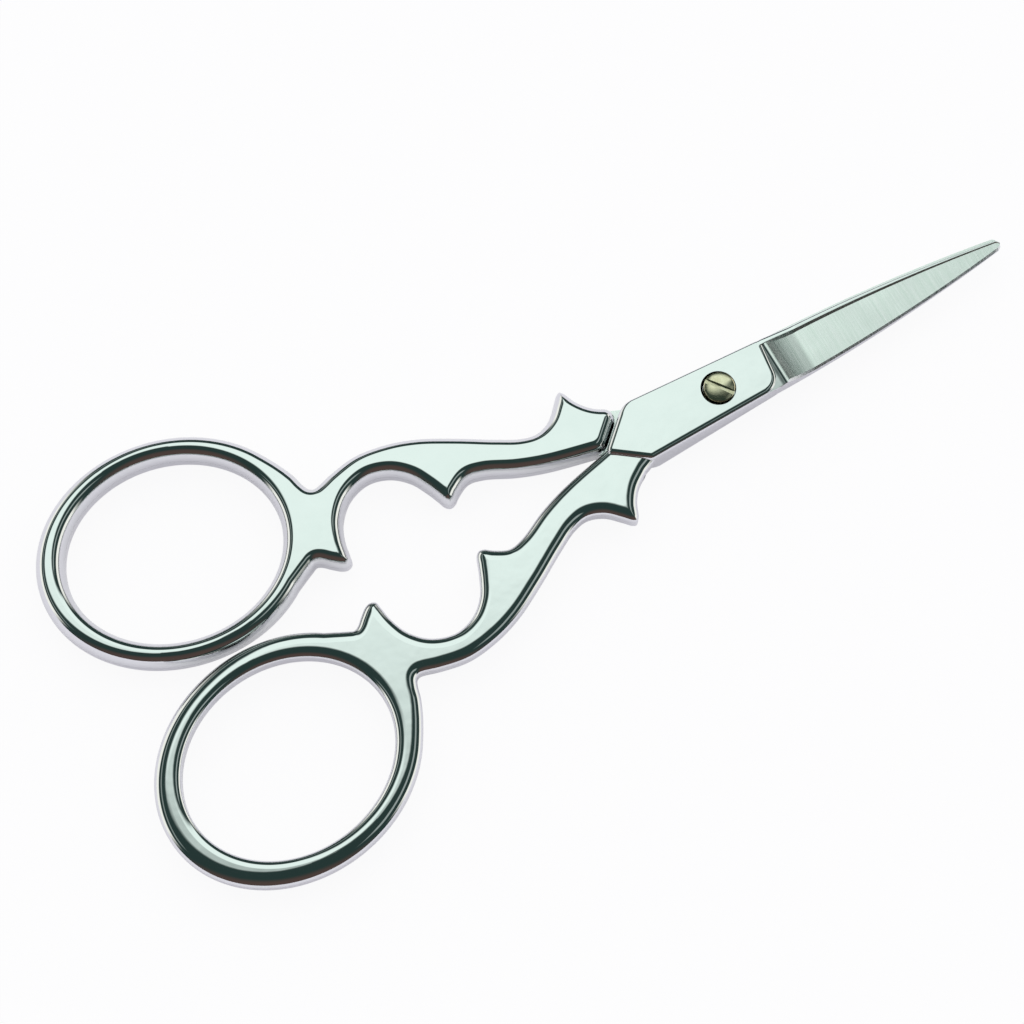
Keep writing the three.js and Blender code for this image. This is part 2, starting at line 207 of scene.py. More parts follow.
def handle_loops():
    """Outlines of the handle's front and back, and its finger hole, each with the metal on its left.
    The front runs on under the ricasso; the back stops at the end of the shank."""
    ring = ring_arc(ring_half_length, ring_half_width, ring_start, ring_stop)
    outer = smooth_edge(np.vstack([ring[-1:], shank_places(outer_edge)]))[1:]
    inner = smooth_edge(np.vstack([shank_places(inner_edge), ring[:1]]))[:-1]
    root, root_side = (1 - root_share) * np.array([heel_step, heel_point])
    root_corner = rounded_corner(outer[-1], root, root_side, end_outer_rounding)
    side_corner = rounded_corner(root, root_side, inner[0], end_outer_rounding)
    front = np.vstack([outer, root_corner, side_corner, inner, ring])

    outer, outer_end = shank_end(np.vstack([outer, root]))
    inner, inner_end = shank_end(inner[::-1])
    outer_corner = rounded_corner(outer[-1], outer_end, inner_end, end_outer_rounding)
    inner_corner = rounded_corner(outer_end, inner_end, inner[-1], end_inner_rounding)
    end = np.linspace(outer_corner[-1], inner_corner[0], end_points)[1:-1]
    back = np.vstack([outer, outer_corner, end, inner_corner, inner[::-1], ring])
    hole = ring_arc(ring_hole_length / 2, ring_hole_width / 2, 360, 0)[1:]
    return front, back, hole


def ring_softness(outside, hole):
    """Share of the rounding at each point of the handle's front. Round the finger ring the outer edge gets
    more of it than the edge of the hole; the difference fades out towards the shank."""
    x = np.concatenate([outside, hole])[:, 0]
    lean = ring_lean * np.clip((ring_centre[0] - x) / ring_half_length + lean_end, 0, 1)
    return 1 + lean * np.repeat([1, -1], [len(outside), len(hole)])


def ricasso_loop():
    """The outline of the ricasso, and the share of the rounding that each of its points gets, which is
    little along the back edge."""
    corners = [
        (heel_back, heel_rounding),
        (heel_point, ricasso_corner),
        (heel_step, ricasso_corner),
        (shoulder_front, shoulder_rounding),
        (shoulder_back, ricasso_corner),
    ]
    loop = rounded_polygon(corners)
    fade = np.linspace(back_softness, 1, corner_points)
    return loop, np.concatenate([fade, np.ones(len(loop) - 2 * corner_points), fade[::-1]])


def into_metal(loop):
    """The direction into the metal at each point of an outline."""
    along = np.roll(loop, -1, axis=0) - np.roll(loop, 1, axis=0)
    across = np.column_stack([-along[:, 1], along[:, 0]])
    return across / np.linalg.norm(across, axis=1)[:, None]


def disc_radii(points, inward):
    """The radius of the largest disc in the metal that touches the outline at each point."""
    least_facing = 1e-6  # a place that lies no further in than this bounds no disc
    radii = []
    for point, direction in zip(points, inward):
        apart = points - point
        facing = apart @ direction
        ahead = facing > least_facing
        radii.append(np.min(np.sum(apart[ahead] ** 2, axis=1) / (2 * facing[ahead])))
    return np.array(radii)


def mesh_piece(name, points, faces):
    """A new object from points in millimetres about the pivot."""
    mesh = bpy.data.meshes.new(name)
    mesh.from_pydata([pivot + Vector(point) * MM for point in points], [], faces)
    piece = bpy.data.objects.new(name, mesh)
    bpy.context.scene.collection.objects.link(piece)
    return piece


def add(tree, kind, links=None, **settings):
    """One new node with its settings, its inputs linked or set; gives back its outputs."""
    node = tree.nodes.new(kind)
    for name, value in settings.items():
        setattr(node, name, value)
    for socket, value in (links or {}).items():
        for source in value if isinstance(value, list) else [value]:
            if isinstance(source, bpy.types.NodeSocket):
                tree.links.new(source, node.inputs[socket])
            else:
                node.inputs[socket].default_value = source
    return node.outputs


def node_tree(name, sockets):
    """A geometry tree with named inputs, and the outputs of its input node."""
    tree = bpy.data.node_groups.new(name, "GeometryNodeTree")
    for label, kind in sockets:
        tree.interface.new_socket(label, in_out="INPUT", socket_type=kind)
    tree.interface.new_socket("Geometry", in_out="OUTPUT", socket_type="NodeSocketGeometry")
    return tree, add(tree, "NodeGroupInput")


def run_tree(piece, tree, **values):
    """Set a tree's inputs on a piece, keep its result as a plain mesh and take the modifier off."""
    modifier = piece.modifiers.new(tree.name, "NODES")
    modifier.node_group = tree
    for item in tree.interface.items_tree:
        if item.in_out == "INPUT" and item.name in values:
            modifier[item.identifier] = values[item.name]
    graph = bpy.context.evaluated_depsgraph_get()
    made = bpy.data.meshes.new_from_object(piece.evaluated_get(graph))
    piece.modifiers.remove(modifier)
    piece.data = made


def crown_tree():
    """The rule of a polished edge: each row of a plate's wall slides into the metal on a quarter ellipse.
    Where the metal is narrow the slide stops at its middle, which makes the ring round and the spurs keen."""
    tree, given = node_tree("crowned_edge", [
        ("Plate", "NodeSocketGeometry"),
        ("Rounding", "NodeSocketFloat"),
    ])
    stored = {}
    for name in ("inward", "reach", "turn", "height", "softness"):
        kind = "FLOAT_VECTOR" if name == "inward" else "FLOAT"
        stored[name] = add(tree, "GeometryNodeInputNamedAttribute", {"Name": name}, data_type=kind)[0]
    rounding = add(tree, "ShaderNodeMath", {
        0: given["Rounding"], 1: stored["softness"],
    }, operation="MULTIPLY")[0]
    local = add(tree, "ShaderNodeMath", {0: rounding, 1: stored["reach"]}, operation="MINIMUM")[0]
    cosine = add(tree, "ShaderNodeMath", {0: stored["turn"]}, operation="COSINE")[0]
    closed = add(tree, "ShaderNodeMath", {0: 1.0, 1: cosine}, operation="SUBTRACT")[0]
    inset = add(tree, "ShaderNodeMath", {0: local, 1: closed}, operation="MULTIPLY")[0]
    share = add(tree, "ShaderNodeMath", {0: inset, 1: rounding}, operation="DIVIDE")[0]
    left = add(tree, "ShaderNodeMath", {0: 1.0, 1: share}, operation="SUBTRACT")[0]
    left_squared = add(tree, "ShaderNodeMath", {0: left, 1: left}, operation="MULTIPLY")[0]
    rise_squared = add(tree, "ShaderNodeMath", {0: 1.0, 1: left_squared}, operation="SUBTRACT")[0]
    rise = add(tree, "ShaderNodeMath", {0: rise_squared}, operation="SQRT")[0]
    short = add(tree, "ShaderNodeMath", {0: rise, 1: 1.0}, operation="SUBTRACT")[0]
    lift = add(tree, "ShaderNodeMath", {0: short, 1: stored["height"]}, operation="MULTIPLY")[0]
    slide = add(tree, "ShaderNodeVectorMath", {0: stored["inward"], "Scale": inset}, operation="SCALE")[0]
    upright = add(tree, "ShaderNodeCombineXYZ", {"Z": lift})[0]
    offset = add(tree, "ShaderNodeVectorMath", {0: slide, 1: upright}, operation="ADD")[0]
    moved = add(tree, "GeometryNodeSetPosition", {"Geometry": given["Plate"], "Offset": offset})[0]
    whole = add(tree, "GeometryNodeRealizeInstances", {0: moved})[0]
    add(tree, "NodeGroupOutput", {0: whole})
    return tree


crowned_edge = crown_tree()


def crowned_plate(name, loops, rounding, back, back_rise, front, front_rise, softness=1.0):
    """A plate between two heights, its edges rounded over so far in and so far up; no rise is a square edge.
    Softness is the share of the rounding that each point of the outline gets."""
    points = np.vstack(loops)
    softness = np.broadcast_to(softness, len(points))
    inward = np.vstack([into_metal(loop) for loop in loops])
    reach = ridge_share * softness * disc_radii(points, inward)
    turns = np.linspace(0, math.pi / 2, rounding_rows + 1)
    rows = [(back, -back_rise, turn) for turn in (turns[::-1] if back_rise else turns[:1])]
    rows += [(front, front_rise, turn) for turn in (turns if front_rise else turns[:1])]

    faces = []
    starts = np.cumsum([0] + [len(loop) for loop in loops])
    for row in range(len(rows) - 1):
        low, high = row * len(points), (row + 1) * len(points)
        for start, loop in zip(starts, loops):
            for i in range(len(loop)):
                here, after = start + i, start + (i + 1) % len(loop)
                faces.append((low + here, low + after, high + after, high + here))
    top = (len(rows) - 1) * len(points)
    for first, inset in ((0, rounding if back_rise else 0.0), (top, rounding if front_rise else 0.0)):
        crown = points + inward * np.minimum(inset * softness, reach)[:, None]
        cap = [[Vector((x, y, 0)) for x, y in crown[start:stop]] for start, stop in zip(starts, starts[1:])]
        corners = np.array(tessellate_polygon(cap))
        ab, ac = crown[corners[:, 1]] - crown[corners[:, 0]], crown[corners[:, 2]] - crown[corners[:, 0]]
        upwards = np.sum(ab[:, 0] * ac[:, 1] - ab[:, 1] * ac[:, 0]) > 0
        turned = corners if upwards == (first > 0) else corners[:, ::-1]
        faces += [tuple(face) for face in (first + turned).tolist()]

    piece = mesh_piece(name, [(x, y, z) for z, _, _ in rows for x, y in points], faces)
    flat = np.column_stack([inward, np.zeros(len(points))])
    stored = {
        "inward": ("FLOAT_VECTOR", "vector", np.tile(flat, (len(rows), 1))),
        "reach": ("FLOAT", "value", np.tile(reach * MM, len(rows))),
        "turn": ("FLOAT", "value", np.repeat([turn for _, _, turn in rows], len(points))),
        "height": ("FLOAT", "value", np.outer([rise * MM for _, rise, _ in rows], softness)),
        "softness": ("FLOAT", "value", np.tile(softness, len(rows))),
    }
    for label, (kind, field, values) in stored.items():
        attribute = piece.data.attributes.new(label, kind, "POINT")
        attribute.data.foreach_set(field, np.ascontiguousarray(values, np.float32).ravel())
    run_tree(piece, crowned_edge, Rounding=rounding * MM)
    for label in stored:
        piece.data.attributes.remove(piece.data.attributes[label])
    return piece


# The blade, with its heights over the inner face
ridge_thickness = front_face - inner_face - seam
ridge_rise = 0.3  # over the ledge behind it
ridge_run = 0.42  # length of the slope from the ledge
ridge_softness = 0.28  # heights are evened out this far each way
ridge_samples = 9
ledge_dip = 0.15  # the ledge behind the ridge is shallower beside the strip
blade_start = 2.0  # the blade's root runs on inside the ricasso to here
blade_root_thickness = 1.22
blade_tip_thickness = 0.5
scoop_length = 3.4  # of the hollow after the ridge
scoop_taper = 1.5  # how much steeper the hollow starts than it ends
mark_depth = 0.04  # mark of the wheel where the hollow ends
mark_width = 0.25
tip_back = 0.22  # half widths at the tip
tip_front = 0.67
tip_rounding = 0.45
back_swell = 0.46  # past a straight edge, in the middle of the blade
belly_swell = 0.43
spine_land = 0.52  # width of the strip left standing along the back edge, at the ridge
tip_land = 0.12  # and at the tip
land_height = 0.3  # of the strip above the flat where the hollow ends
tip_land_thickness = 0.6
land_rounding = 0.24
spine_points = 5
cutting_bevel = 0.22  # width of the bevel along the cutting edge
bevel_depth = 0.25
bevel_run = 0.3  # the bevel reaches its full width this far past the ridge
least_bevel = 0.1  # share of the bevel that is left before the ridge
cutting_land = 0.12  # least height of the cutting edge
widest_share = 0.25  # neither strip nor bevel takes more than this share of the blade's width
ridge_stations = 25
scoop_stations = 17
flat_stations = 24
tip_stations = 12
last_station = 0.1  # the tip is closed just short of its end
tip_reach = shoulder_reach + blade_length
spine_turns = np.linspace(0, math.pi / 2, spine_points)


def blade_edges(x):
    """The back and cutting edges, each swelling past straight and rounded off at the tip."""
    share = max(0.0, x - shoulder_reach) / blade_length
    swell = 4 * share * (1 - share)
    back = shoulder_back_width + (tip_back - shoulder_back_width) * share + back_swell * swell
    front = shoulder_front_width + (tip_front - shoulder_front_width) * share + belly_swell * swell
    left = min(1.0, (tip_reach - x) / tip_rounding)
    close = math.sqrt(1 - (1 - left) ** 2)
    middle = (tip_back - tip_front) / 2
    return middle + (back - middle) * close, middle - (front + middle) * close


def blade_heights(x):
    """Heights of the ground flat and of the strip along the back edge. The flat climbs to the ridge, falls
    down the hollow after it and then thins to the tip; the strip falls more gently."""
    past = x - shoulder_reach
    if past <= 0:
        return ridge_thickness - ridge_rise * min(1.0, -past / ridge_run), ridge_thickness
    share = past / blade_length
    flat = blade_root_thickness + (blade_tip_thickness - blade_root_thickness) * share
    tip_height = tip_land_thickness - blade_tip_thickness
    left = max(0.0, 1 - past / scoop_length)
    drop = ridge_thickness - blade_root_thickness
    land = flat + land_height + (tip_height - land_height) * share + (drop - land_height) * left
    mark = mark_depth * max(0.0, 1 - abs(past - scoop_length) / mark_width)
    return flat + drop * left * (1 + scoop_taper * left) / (1 + scoop_taper) - mark, land


def blade_section(x):
    """One cross-section of the blade: along the inner face from the cutting edge, round the back edge, and
    over the strip, the flat and the bevel."""
    back, cutting = blade_edges(x)
    most = (back - cutting) * widest_share
    near = np.linspace(x - ridge_softness, x + ridge_softness, ridge_samples)
    flat, land = inner_face + np.mean([blade_heights(min(place, tip_reach)) for place in near], axis=0)
    share = max(0.0, x - shoulder_reach) / blade_length
    strip = min(spine_land + (tip_land - spine_land) * share, most)
    rounding = min(land_rounding, strip / 2)
    spine = [
        (x, back - rounding * (1 - math.cos(a)), land - rounding * (1 - math.sin(a))) for a in spine_turns
    ]
    inner = flat if x > shoulder_reach else max(flat, land - ledge_dip)
    sharpened = min(1.0, max(least_bevel, (x - shoulder_reach) / bevel_run))
    bevel = min(cutting_bevel * sharpened, most)
    return [
        (x, cutting, inner_face - 2 * seam),
        (x, back, inner_face - 2 * seam),
        *spine,
        (x, back - strip, land),
        (x, back - strip - min(most, land - inner), inner),
        (x, cutting + bevel, flat),
        (x, cutting, max(inner_face + cutting_land, flat - bevel_depth * sharpened)),
    ]


def blade_blank():
    """The blade, lofted through its cross-sections. Its flat, and the slope and the bevel beside it, are
    marked as ground."""
    ridge_end = 2 * ridge_run
    scoop_end = scoop_length + ridge_run
    ridge = shoulder_reach + np.linspace(-ridge_end, ridge_end, ridge_stations)
    scoop = shoulder_reach + np.linspace(ridge_end, scoop_end, scoop_stations)[1:]
    flat = np.linspace(shoulder_reach + scoop_end, tip_reach - tip_rounding, flat_stations)[1:-1]
    tip = tip_reach - tip_rounding * np.linspace(1, last_station, tip_stations) ** 2
    stations = [blade_start, *ridge, *scoop, *flat, *tip]
    sections = [blade_section(x) for x in stations]
    sides = len(sections[0])
    ground_sides = range(sides - 4, sides - 1)
    faces = [tuple(range(sides))[::-1], tuple(range((len(sections) - 1) * sides, len(sections) * sides))]
    ground = [False, False]
    for row, x in enumerate(stations[:-1]):
        for side in range(sides):
            a, b = row * sides + side, row * sides + (side + 1) % sides
            faces.append((a, b, b + sides, a + sides))
            ground.append(bool(side in ground_sides and x >= shoulder_reach))
    piece = mesh_piece("blade_blank", [point for section in sections for point in section], faces)
    piece.data.attributes.new("ground", "BOOLEAN", "FACE").data.foreach_set("value", ground)
    return piece


def round_cutter(name, rings):
    """A closed upright tool with round sections, each a centre, a diameter and a height, from the bottom."""
    sides = 96
    turn = np.linspace(0, 2 * math.pi, sides, endpoint=False)
    points = []
    for (x, y), diameter, height in rings:
        points += [(x + diameter / 2 * math.cos(a), y + diameter / 2 * math.sin(a), height) for a in turn]
    last = len(points) - sides
    faces = [tuple(range(sides))[::-1], tuple(range(last, last + sides))]
    for low in range(0, last, sides):
        for i in range(sides):
            after = (i + 1) % sides
            faces.append((low + i, low + after, low + sides + after, low + sides + i))
    return mesh_piece(name, points, faces)


def colour(text):
    """An sRGB hex colour as linear red, green, blue and alpha."""
    parts = [int(text[i:i + 2], 16) / 255 for i in (1, 3, 5)]
    return (*[c / 12.92 if c <= 0.04045 else ((c + 0.055) / 1.055) ** 2.4 for c in parts], 1.0)


def new_material(name):
    """A new material, its emptied tree, and the Object coordinates of its surface."""
    material = bpy.data.materials.new(name)
    material.use_nodes = True
    material.node_tree.nodes.clear()
    return material, material.node_tree, add(material.node_tree, "ShaderNodeTexCoord")["Object"]


def polished_chrome():
    """Chrome plate on forged steel, buffed to a mirror. Buffing leaves the surface faintly rippled,
    with hairline scratches that soften the mirror in patches and a few pinholes in the plate.
    In a Mix node of colours, sockets 6 and 7 are the two colours and 2 is the result."""
    material, tree, place = new_material("polished_chrome_plate")
    ripple_width = 2.4
    ripple_depth = 0.012
    scratch_width = 0.05
    scratch_length = 5.0
    scratch_angle = math.radians(25)
    pinhole_spacing = 5.0
    pinhole_radius = 0.09
    pinhole_roughness = 0.5

    ripple = add(tree, "ShaderNodeTexNoise", {
        "Vector": place, "Scale": 1 / (ripple_width * MM), "Detail": 2.0,
    })
    along = add(tree, "ShaderNodeMapping", {
        "Vector": place,
        "Rotation": (0.0, 0.0, scratch_angle),
        "Scale": tuple(1 / (size * MM) for size in (scratch_length, scratch_width, scratch_width)),
    })[0]
    scratch = add(tree, "ShaderNodeTexNoise", {"Vector": along, "Scale": 1.0, "Detail": 3.0})
    cells = add(tree, "ShaderNodeTexVoronoi", {"Vector": place, "Scale": 1 / (pinhole_spacing * MM)})
    pinhole = add(tree, "ShaderNodeMapRange", {
        "Value": cells["Distance"],
        "From Min": 0.5 * pinhole_radius / pinhole_spacing,
        "From Max": pinhole_radius / pinhole_spacing,
        "To Min": 1.0,
        "To Max": 0.0,
    })[0]

    base = add(tree, "ShaderNodeMix", {
        "Factor": ripple[0], 6: colour("#e3e5e6"), 7: colour("#e9eaeb"),
    }, data_type="RGBA")[2]
    base = add(tree, "ShaderNodeMix", {"Factor": pinhole, 6: base, 7: colour("#59625f")}, data_type="RGBA")[2]
    gloss = add(tree, "ShaderNodeMapRange", {
        "Value": scratch[0], "From Min": 0.35, "From Max": 0.75, "To Min": 0.02, "To Max": 0.07,
    })[0]
    gloss = add(tree, "ShaderNodeMath", {
        0: pinhole, 1: pinhole_roughness, 2: gloss,
    }, operation="MULTIPLY_ADD")[0]
    dent = add(tree, "ShaderNodeMath", {0: pinhole, 1: -1.0, 2: ripple[0]}, operation="MULTIPLY_ADD")[0]
    bump = add(tree, "ShaderNodeBump", {"Height": dent, "Strength": 1.0, "Distance": ripple_depth * MM})[0]
    shader = add(tree, "ShaderNodeBsdfPrincipled", {
        "Base Color": base, "Metallic": 1.0, "Roughness": gloss, "Normal": bump,
    })[0]
    add(tree, "ShaderNodeOutputMaterial", {"Surface": shader})
    return material


def ground_steel():
    """Steel ground across the blade on a belt and plated over. The scratches run from back to edge,
    so the flat is a soft satin with darker and lighter lines. They are drawn coarse enough to show."""
    material, tree, place = new_material("cross_ground_satin_steel")
    line_width = 0.2
    line_length = 6.0
    line_depth = 0.008
    cloud_width = 3.0
    cloud_share = 0.5  # of the clouds in the gloss, beside the lines

    lines = add(tree, "ShaderNodeMapping", {
        "Vector": place,
        "Scale": tuple(1 / (size * MM) for size in (line_width, line_length, line_length)),
    })[0]
    line = add(tree, "ShaderNodeTexNoise", {"Vector": lines, "Scale": 1.0, "Detail": 4.0, "Roughness": 0.7})
    cloud = add(tree, "ShaderNodeTexNoise", {"Vector": place, "Scale": 1 / (cloud_width * MM), "Detail": 2.0})
    mixed = add(tree, "ShaderNodeMath", {
        0: cloud[0], 1: cloud_share, 2: line[0],
    }, operation="MULTIPLY_ADD")[0]
    streak = add(tree, "ShaderNodeMapRange", {"Value": line[0], "From Min": 0.25, "From Max": 0.75})[0]
    base = add(tree, "ShaderNodeMix", {
        "Factor": streak, 6: colour("#d9e1dc"), 7: colour("#ffffff"),
    }, data_type="RGBA")[2]
    gloss = add(tree, "ShaderNodeMapRange", {
        "Value": mixed, "From Min": 0.45, "From Max": 1.05, "To Min": 0.13, "To Max": 0.27,
    })[0]
    bump = add(tree, "ShaderNodeBump", {"Height": line[0], "Strength": 1.0, "Distance": line_depth * MM})[0]
    shader = add(tree, "ShaderNodeBsdfPrincipled", {
        "Base Color": base, "Metallic": 1.0, "Roughness": gloss, "Normal": bump,
    })[0]
    add(tree, "ShaderNodeOutputMaterial", {"Surface": shader})
    return material


def forging_tree():
    """Joins the handle's back, the ricasso and the blade to its front and drills the pivot, then gives the
    ground faces their own finish: those marked on the blade, and the inner face."""
    level_play = 0.01
    straight_in = -0.99  # upward part of the direction of a face that looks inwards
    tree, given = node_tree("forging", [
        ("Handle front", "NodeSocketGeometry"),
        ("Handle back", "NodeSocketObject"),
        ("Ricasso", "NodeSocketObject"),
        ("Blade", "NodeSocketObject"),
        ("Bore", "NodeSocketObject"),
        ("Seat", "NodeSocketObject"),
        ("Inner height", "NodeSocketFloat"),
        ("Polished", "NodeSocketMaterial"),
        ("Ground", "NodeSocketMaterial"),
    ])
    shape = {
        name: add(tree, "GeometryNodeObjectInfo", {"Object": given[name]})["Geometry"]
        for name in ("Handle back", "Ricasso", "Blade", "Bore", "Seat")
    }
    joined = add(tree, "GeometryNodeMeshBoolean", {
        "Mesh 2": [given["Handle front"], shape["Handle back"], shape["Ricasso"], shape["Blade"]],
    }, operation="UNION", solver="MANIFOLD")[0]
    cut = add(tree, "GeometryNodeMeshBoolean", {
        "Mesh 1": joined, "Mesh 2": [shape["Bore"], shape["Seat"]],
    }, operation="DIFFERENCE", solver="MANIFOLD")[0]
    whole = add(tree, "GeometryNodeRealizeInstances", {0: cut})[0]
    position = add(tree, "GeometryNodeInputPosition")[0]
    height = add(tree, "ShaderNodeSeparateXYZ", {0: position})["Z"]
    inside = add(tree, "FunctionNodeCompare", {
        "A": height, "B": given["Inner height"], "Epsilon": level_play * MM,
    }, operation="EQUAL")[0]
    facing = add(tree, "GeometryNodeInputNormal")[0]
    upwards = add(tree, "ShaderNodeSeparateXYZ", {0: facing})["Z"]
    faces_in = add(tree, "FunctionNodeCompare", {
        "A": upwards, "B": straight_in,
    }, operation="LESS_THAN")[0]
    ground_inside = add(tree, "FunctionNodeBooleanMath", {0: inside, 1: faces_in}, operation="AND")[0]
    marked = add(tree, "GeometryNodeInputNamedAttribute", {"Name": "ground"}, data_type="BOOLEAN")[0]
    chosen = add(tree, "FunctionNodeBooleanMath", {0: marked, 1: ground_inside}, operation="OR")[0]
    polished = add(tree, "GeometryNodeSetMaterial", {"Geometry": whole, "Material": given["Polished"]})[0]
    ground = add(tree, "GeometryNodeSetMaterial", {
        "Geometry": polished, "Selection": chosen, "Material": given["Ground"],
    })[0]
    add(tree, "NodeGroupOutput", {0: ground})
    return tree


chrome = polished_chrome()
satin = ground_steel()
forging = forging_tree()

forging_keenness = math.radians(28)  # edges over this angle stay keen
flat_limit = math.radians(0.05)  # faces nearer to one plane than this are joined
flat_area = 1.0  # faces larger than this, in square millimetres, are flats


def soft_shading(piece, sharpest):
    """Smooth shading that keeps edges over an angle keen. Each flat becomes one face, and the surface beside
    it takes on its direction where they meet, so that the flat mirrors as a plane."""
    shape = bmesh.new()
    shape.from_mesh(piece.data)
    bmesh.ops.dissolve_limit(
        shape, angle_limit=flat_limit, verts=shape.verts, edges=shape.edges, delimit={"MATERIAL"})
    for face in shape.faces:
        face.smooth = True
    for edge in shape.edges:
        edge.smooth = edge.calc_face_angle(math.pi) < sharpest
    shape.to_mesh(piece.data)
    shape.free()

    mesh = piece.data
    flats = {}
    for face in mesh.polygons:
        if face.area > flat_area * MM**2:
            for corner in face.vertices:
                flats.setdefault(corner, []).append(face.normal.copy())
    directions = []
    for corner, normal in zip(mesh.loops, mesh.corner_normals):
        direction = normal.vector.copy()
        for flat in flats.get(corner.vertex_index, []):
            if flat.angle(direction) < sharpest:
                direction = flat
        directions.append(direction)
    mesh.normals_split_custom_set(directions)


bore_diameter = 2.2
seat_diameter = 3.6  # at its mouth; it narrows to its floor
seat_floor_diameter = 3.26
seat_depth = 0.9
seat_centre = (-0.165, -0.045)  # the seat's mouth lies a little off the bore, towards the handles


def forged_half(name, has_seat):
    """One half with its front face up, in the place of the upper half. The handle's back hangs below the
    inner face, as deep as its front stands above it. Without a seat, its cutter stands clear of the metal."""
    front, back, hole = handle_loops()
    softness = ring_softness(front, hole)
    piece = crowned_plate(
        name, [front, hole], edge_rounding, inner_face, 0, handle_face, front_edge_rise, softness)
    shrunk = [loop + seam * into_metal(loop) for loop in (back, hole)]
    depth = handle_face + inner_face
    overlap = inner_face + front_edge_rise / 2
    behind = crowned_plate("handle_back", shrunk, edge_rounding, -handle_face, depth, overlap, 0)
    loop, softness = ricasso_loop()
    underside = inner_face - seam
    ricasso = crowned_plate(
        "ricasso_blank", [loop], ricasso_rounding, underside, 0, front_face, ricasso_rounding, softness)
    above = 2 * front_face
    bore = [((0, 0), bore_diameter, -front_face), ((0, 0), bore_diameter, above)]
    seat_bottom = front_face - seat_depth if has_seat else above
    seat_mouth = seat_bottom + seat_depth
    seat = [
        ((0, 0), seat_floor_diameter, seat_bottom),
        (seat_centre, seat_diameter, seat_mouth),
        (seat_centre, seat_diameter, seat_mouth + front_face),
    ]
    tools = {
        "Handle back": behind,
        "Ricasso": ricasso,
        "Blade": blade_blank(),
        "Bore": round_cutter("bore", bore),
        "Seat": round_cutter("seat", seat),
    }
    finish = {
        "Inner height": pivot.z + inner_face * MM,
        "Polished": chrome,
        "Ground": satin,
    }
    run_tree(piece, forging, **tools, **finish)
    for tool in tools.values():
        bpy.data.objects.remove(tool)
    return piece


top_half = forged_half("top_half_forging", True)
soft_shading(top_half, forging_keenness)
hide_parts("top_half")
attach(top_half, "turning_half")

bottom_half = forged_half("bottom_half_forging", False)
turned_over = Matrix.Translation(pivot) @ Matrix.Rotation(math.pi, 4, "X") @ Matrix.Translation(-pivot)
bottom_half.data.transform(turned_over)
soft_shading(bottom_half, forging_keenness)
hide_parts("bottom_half")
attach(bottom_half, "screwed_half")

# The pivot screw
# A turned steel screw, nickel plated and a little dulled. Its domed head has one sawn slot and sits in a
# seat in the upper half; its end is screwed into the lower half and stops just inside its back.
screw_diameter = 2.0
head_diameter = 3.2
head_rim = 0.72
head_dome = 0.315
rim_rounding = 0.12
head_clearance = 0.1  # under the head, so that the upper half turns
tail_recess = 0.1
under_head = front_face - seat_depth + head_clearance
screw_tail = tail_recess - front_face
tail_chamfer = 0.2
slot_width = 0.5
slot_depth = 0.36
slot_angle = math.radians(-53)
dome_rows = 24
screw_keenness = math.radians(30)  # edges over this angle stay keen


def lathe(name, profile):
    """A closed solid of revolution about the pivot axis, from radius and height pairs."""
    sides = 128
    turn = np.linspace(0, 2 * math.pi, sides, endpoint=False)
    points = [(0, 0, profile[0][1])]
    for radius, height in profile[1:-1]:
        points += [(radius * math.cos(a), radius * math.sin(a), height) for a in turn]
    points.append((0, 0, profile[-1][1]))
    faces = []
    rows = len(profile) - 2
    for i in range(sides):
        after = (i + 1) % sides
        faces.append((0, 1 + after, 1 + i))
        faces.append((len(points) - 1, 1 + (rows - 1) * sides + i, 1 + (rows - 1) * sides + after))
        for row in range(rows - 1):
            low, high = 1 + row * sides, 1 + (row + 1) * sides
            faces.append((low + i, low + after, high + after, high + i))
    return mesh_piece(name, points, faces)


def turned_nickel():
    """Nickel plate on turned steel: warmer than chrome, with the lathe's fine rings round the axis
    and a dull film that lies unevenly. The rings of a Wave node lie pi / (10 * scale) apart."""
    material, tree, place = new_material("turned_nickel_plate")
    ring_spacing = 0.09
    ring_depth = 0.004
    film_width = 0.7
    centred = add(tree, "ShaderNodeMapping", {"Vector": place, "Location": tuple(-pivot)})[0]
    scale = math.pi / (10 * ring_spacing * MM)
    rings = add(tree, "ShaderNodeTexWave", {
        "Vector": centred, "Scale": scale, "Distortion": 0.6, "Detail": 2.0,
    }, wave_type="RINGS", rings_direction="Z")
    film = add(tree, "ShaderNodeTexNoise", {"Vector": place, "Scale": 1 / (film_width * MM), "Detail": 3.0})
    base = add(tree, "ShaderNodeMix", {
        "Factor": film[0], 6: colour("#ebe5cb"), 7: colour("#cdc3a0"),
    }, data_type="RGBA")[2]
    gloss = add(tree, "ShaderNodeMapRange", {
        "Value": film[0], "From Min": 0.3, "From Max": 0.7, "To Min": 0.1, "To Max": 0.24,
    })[0]
    bump = add(tree, "ShaderNodeBump", {"Height": rings[1], "Strength": 0.5, "Distance": ring_depth * MM})[0]
    shader = add(tree, "ShaderNodeBsdfPrincipled", {
        "Base Color": base, "Metallic": 1.0, "Roughness": gloss, "Normal": bump,
    })[0]
    add(tree, "ShaderNodeOutputMaterial", {"Surface": shader})
    return material


def saw_bar(name, section, along, reach):
    """A bar that runs both ways from the axis. A point of its section is a place across it and a height."""
    across = np.array([-along[1], along[0]])
    ends = []
    for end in (-reach, reach):
        ends += [(*(aside * across + end * along), height) for aside, height in section]
    count = len(section)
    sides = [(i, (i + 1) % count, count + (i + 1) % count, count + i) for i in range(count)]
    bar = mesh_piece(name, ends, [*sides, tuple(range(count))[::-1], tuple(range(count, 2 * count))])
    shape = bmesh.new()
    shape.from_mesh(bar.data)
    bmesh.ops.recalc_face_normals(shape, faces=shape.faces)
    shape.to_mesh(bar.data)
    shape.free()
    return bar


